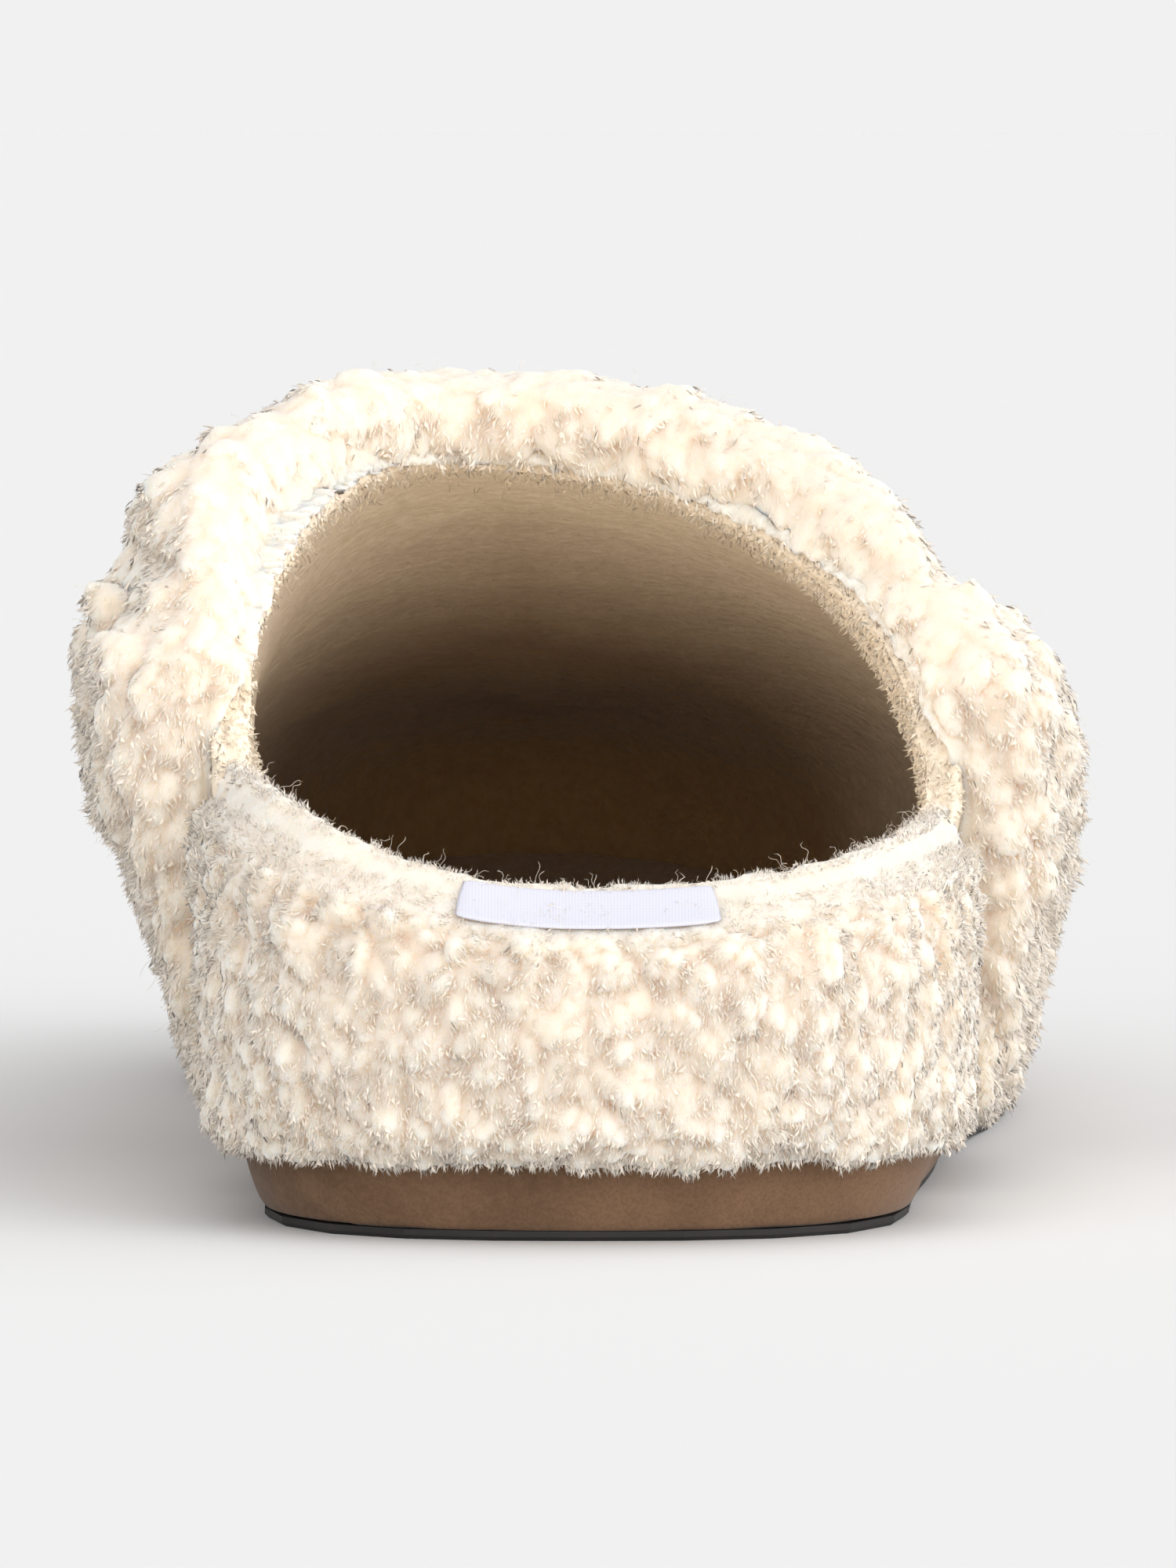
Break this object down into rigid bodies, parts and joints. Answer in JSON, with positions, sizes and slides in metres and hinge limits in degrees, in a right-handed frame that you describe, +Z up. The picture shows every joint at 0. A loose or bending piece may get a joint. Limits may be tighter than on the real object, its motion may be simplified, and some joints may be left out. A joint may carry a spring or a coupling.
{
  "type": "clog slipper",
  "caption": "Sheepskin clog slipper with a suede toe, a deep wool cuff, a low wool heel and a thin flat sole, open at the collar.",
  "frame": {"origin": "on the floor under the middle of the heel seat", "axes": "+Z up, +Y from heel to toe, +X to the outer side of the right foot"},
  "size_m": [0.1177, 0.2746, 0.094],
  "materials": {
    "rubber_black": "matte black rubber with shallow cross grooves",
    "suede_band": "brushed brown suede, matte",
    "wool_footbed": "shorn natural wool, matte",
    "suede_upper": "brown suede outside, shorn wool inside, matte",
    "wool_heel": "long cream wool pile, matte",
    "wool_cuff": "long cream wool pile, matte",
    "label_tape": "plain white woven tape, faint sheen"
  },
  "bodies": {
    "root": {"outsole": "rubber_black", "midsole": "suede_band", "insole": "wool_footbed", "upper": "suede_upper", "heel_panel": "wool_heel", "cuff": "wool_cuff", "label": "label_tape"}
  },
  "joints": []
}
